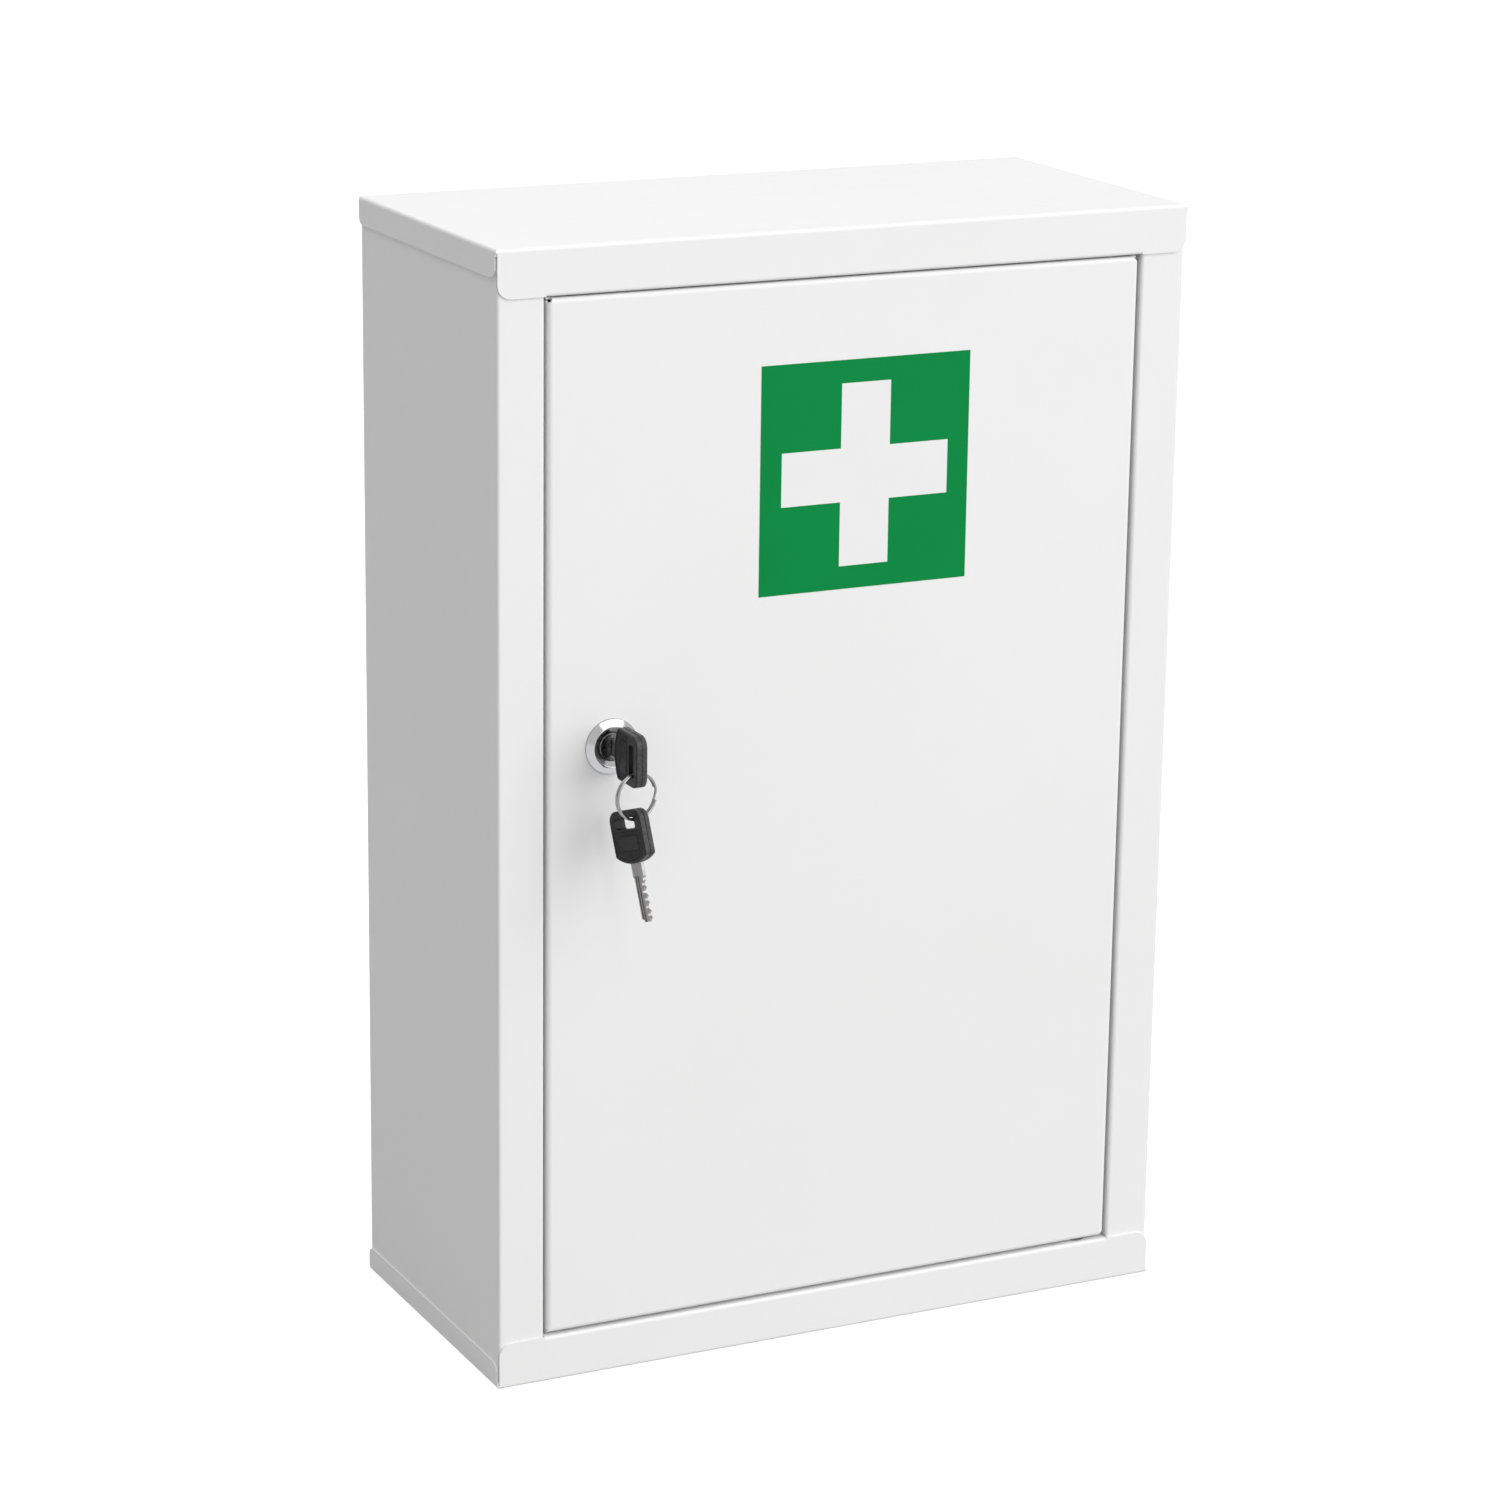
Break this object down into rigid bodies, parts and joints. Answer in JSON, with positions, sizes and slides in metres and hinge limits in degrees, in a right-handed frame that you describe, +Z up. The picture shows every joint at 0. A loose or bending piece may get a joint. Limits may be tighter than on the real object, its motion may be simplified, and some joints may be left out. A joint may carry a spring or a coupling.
{
  "type": "lockable medicine cabinet",
  "caption": "Wall cabinet in folded white sheet steel with an inset pivot-hinged door, cam lock, keys on a split ring and inner shelves.",
  "frame": {"origin": "centre of the cabinet's underside, halfway between the front of the lid's flange and the back wall", "axes": "+X to the right of someone facing the door, -Y out of the door, +Y to the wall, +Z up"},
  "size_m": [0.3016, 0.1728, 0.46],
  "materials": {
    "white_paint": "semi-gloss white powder coat",
    "chrome": "bright chrome plate",
    "zinc_steel": "zinc plated steel",
    "nickel_silver": "milled nickel silver",
    "spring_steel": "nickel plated spring steel wire",
    "black_plastic": "moulded black plastic with fine grip texture",
    "nylon": "natural nylon",
    "rubber": "grey rubber"
  },
  "bodies": {
    "cabinet": {"body_shell": "white_paint", "lid_pan": "white_paint", "floor_pan": "white_paint", "lower_shelf": "white_paint", "lower_shelf_ledge_left": "white_paint", "lower_shelf_ledge_right": "white_paint", "upper_shelf": "white_paint", "upper_shelf_ledge_left": "white_paint", "upper_shelf_ledge_right": "white_paint", "door_bumpers": "rubber", "lower_pivot_pin": "zinc_steel", "upper_pivot_pin": "zinc_steel", "lower_pivot_washer": "nylon"},
    "door": {"door_panel": "white_paint", "lower_pivot_bush": "nylon", "upper_pivot_bush": "nylon", "lock_housing": "chrome", "lock_washer": "zinc_steel", "lock_nut": "zinc_steel"},
    "lock_plug": {"lock_plug": "chrome", "lock_cam": "zinc_steel", "cam_washer": "zinc_steel", "cam_screw": "zinc_steel"},
    "key": {"key_blade": "nickel_silver", "key_bow": "black_plastic"},
    "split_ring": {"split_ring": "spring_steel"},
    "spare_key": {"spare_key_blade": "nickel_silver", "spare_key_bow": "black_plastic"}
  },
  "joints": [
    {"name": "door_hinge", "type": "hinge", "parent": "cabinet", "child": "door", "pos_m": [0.11801, -0.0637, 0.0202], "axis": [0, 0, 1], "range_deg": [0, 115]},
    {"name": "lock_turn", "type": "hinge", "parent": "door", "child": "lock_plug", "pos_m": [-0.102, -0.0708, 0.2623], "axis": [0, 1, 0], "range_deg": [0, 90]},
    {"name": "key_pull", "type": "slide", "parent": "lock_plug", "child": "key", "axis": [0, -1, 0], "range_m": [0, 0.024]},
    {"name": "ring_swing", "type": "hinge", "parent": "key", "child": "split_ring", "pos_m": [-0.102, -0.0926, 0.25711], "axis": [0.9781, 0.2079, 0], "range_deg": [-60, 12]},
    {"name": "spare_key_swing", "type": "hinge", "parent": "split_ring", "child": "spare_key", "pos_m": [-0.102, -0.0926, 0.23891], "axis": [0.9781, 0.2079, 0], "range_deg": [-20, 20]}
  ]
}
